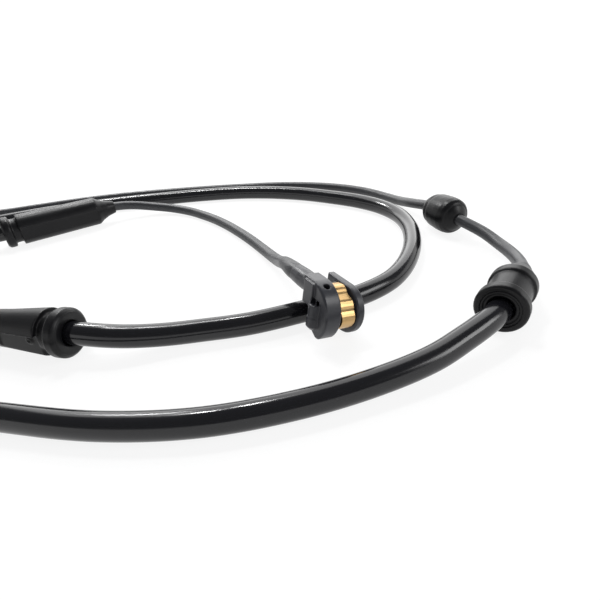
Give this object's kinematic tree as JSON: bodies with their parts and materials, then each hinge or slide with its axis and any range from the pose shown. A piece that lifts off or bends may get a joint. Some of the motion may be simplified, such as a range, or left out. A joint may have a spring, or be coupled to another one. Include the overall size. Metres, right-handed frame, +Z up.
{
  "type": "brake pad wear sensor",
  "caption": "Grooved spool-shaped wear sensor head with a brass retaining strip on a coiled black cable with moulded grommets and a sealed plug.",
  "frame": {"origin": "Middle of the sensor head's footprint on the floor the object lies on (bottom centre of the head's box, cable and plug left out).", "axes": "+Z up; +Y the way the cable leaves the head; +X along the head's spool axis seen from above, from the plate to the rear flange."},
  "size_m": [0.2306, 0.2133, 0.0183],
  "materials": {
    "head_plastic": "satin",
    "spring_brass": "polished",
    "wire_copper": "satin",
    "tinned_metal": "satin",
    "core_insulation": "satin",
    "moulding_rubber": "satin",
    "cable_jacket": "gloss",
    "plug_plastic": "satin",
    "seal_silicone": "satin"
  },
  "bodies": {
    "root": {"sensor_housing": "head_plastic", "retaining_spring": "spring_brass", "sense_wire": "wire_copper", "head_core_a": "core_insulation", "head_core_b": "core_insulation", "splice_ferrule_a": "tinned_metal", "splice_ferrule_b": "tinned_metal", "lead_cable": "cable_jacket", "long_moulding": "moulding_rubber", "protective_hose": "cable_jacket", "bracket_moulding": "moulding_rubber", "double_flange_grommet": "moulding_rubber", "tail_cable": "cable_jacket", "bead_grommet": "moulding_rubber", "plug_housing": "plug_plastic", "plug_rear_cap": "plug_plastic", "plug_rear_seal": "seal_silicone", "plug_socket_seal": "seal_silicone", "plug_blade_lock": "plug_plastic", "plug_blade_a": "tinned_metal", "plug_blade_b": "tinned_metal", "plug_core_a": "core_insulation", "plug_core_b": "core_insulation"}
  },
  "joints": []
}
